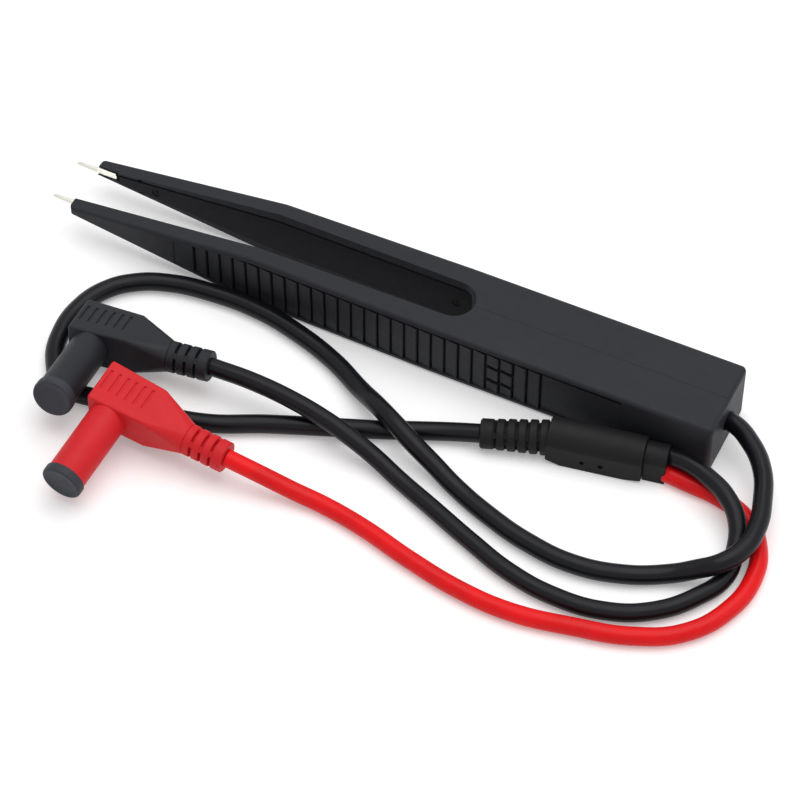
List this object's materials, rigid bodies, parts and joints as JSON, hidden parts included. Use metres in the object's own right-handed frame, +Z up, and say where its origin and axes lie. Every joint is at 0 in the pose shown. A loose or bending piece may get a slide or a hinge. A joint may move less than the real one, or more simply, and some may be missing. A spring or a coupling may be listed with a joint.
{
  "type": "smd test tweezers",
  "caption": "Sprung test tweezers with needle contacts, a two-core cord, a moulded junction and two leads ending in right-angle shrouded plugs with pull-off caps.",
  "frame": {"origin": "middle of the tweezers without their cords, on the surface that they lie on", "axes": "+X from the needle tips to the cord outlet, +Y across the arms to the far arm, +Z up"},
  "size_m": [0.1697, 0.0805, 0.0143],
  "materials": {
    "body_plastic": "fine-grained dark grey moulding",
    "cover_plastic": "smooth dark moulding",
    "contact_metal": "nickel-plated contact",
    "wire_black": "insulation",
    "wire_red": "insulation",
    "clamp_metal": "pressed clamp",
    "cord_black": "soft black sheath",
    "lead_red": "soft red sheath",
    "overmould_black": "satin black overmould",
    "overmould_red": "satin red overmould",
    "splice_metal": "tinned sleeve",
    "pin_metal": "nickel-plated springy pin",
    "cap_plastic": "blue-grey protective cap"
  },
  "bodies": {
    "handle": {"tail_near": "body_plastic", "tail_far": "body_plastic", "tail_wire_near": "wire_black", "tail_wire_far": "wire_red", "cord_clamp": "clamp_metal", "junction_body": "overmould_black", "junction_boot": "overmould_black", "junction_collar": "overmould_black", "splice_sleeve_black": "splice_metal", "splice_sleeve_red": "splice_metal", "duplex_cord": "cord_black", "black_lead": "cord_black", "red_lead": "lead_red", "black_plug_body": "overmould_black", "red_plug_body": "overmould_red", "black_shroud": "overmould_black", "red_shroud": "overmould_red", "black_pin": "pin_metal", "red_pin": "pin_metal"},
    "near_arm": {"arm_near": "body_plastic", "inner_cover_near": "cover_plastic", "contact_near": "contact_metal", "arm_wire_near": "wire_black"},
    "far_arm": {"arm_far": "body_plastic", "inner_cover_far": "cover_plastic", "contact_far": "contact_metal", "arm_wire_far": "wire_red"},
    "black_cap_body": {"black_cap": "cap_plastic"},
    "red_cap_body": {"red_cap": "cap_plastic"}
  },
  "joints": [
    {"name": "near_arm_flex", "type": "hinge", "parent": "handle", "child": "near_arm", "pos_m": [0.0124, -0.007, 0.0069], "axis": [0, 0, -1], "range_deg": [0, 3.05], "stiffness_Nm_per_rad": 2.5},
    {"name": "far_arm_flex", "type": "hinge", "parent": "handle", "child": "far_arm", "pos_m": [0.0124, 0.007, 0.0069], "axis": [0, 0, 1], "range_deg": [0, 3.05], "stiffness_Nm_per_rad": 2.5},
    {"name": "black_cap_pull", "type": "slide", "parent": "handle", "child": "black_cap_body", "axis": [0.0764, -0.9752, 0.2075], "range_m": [0, 0.03]},
    {"name": "red_cap_pull", "type": "slide", "parent": "handle", "child": "red_cap_body", "axis": [-0.0541, -0.9961, -0.0696], "range_m": [0, 0.03]}
  ],
  "couplings": [
    {"joint": "far_arm_flex", "follows": "near_arm_flex", "ratio": 1}
  ]
}
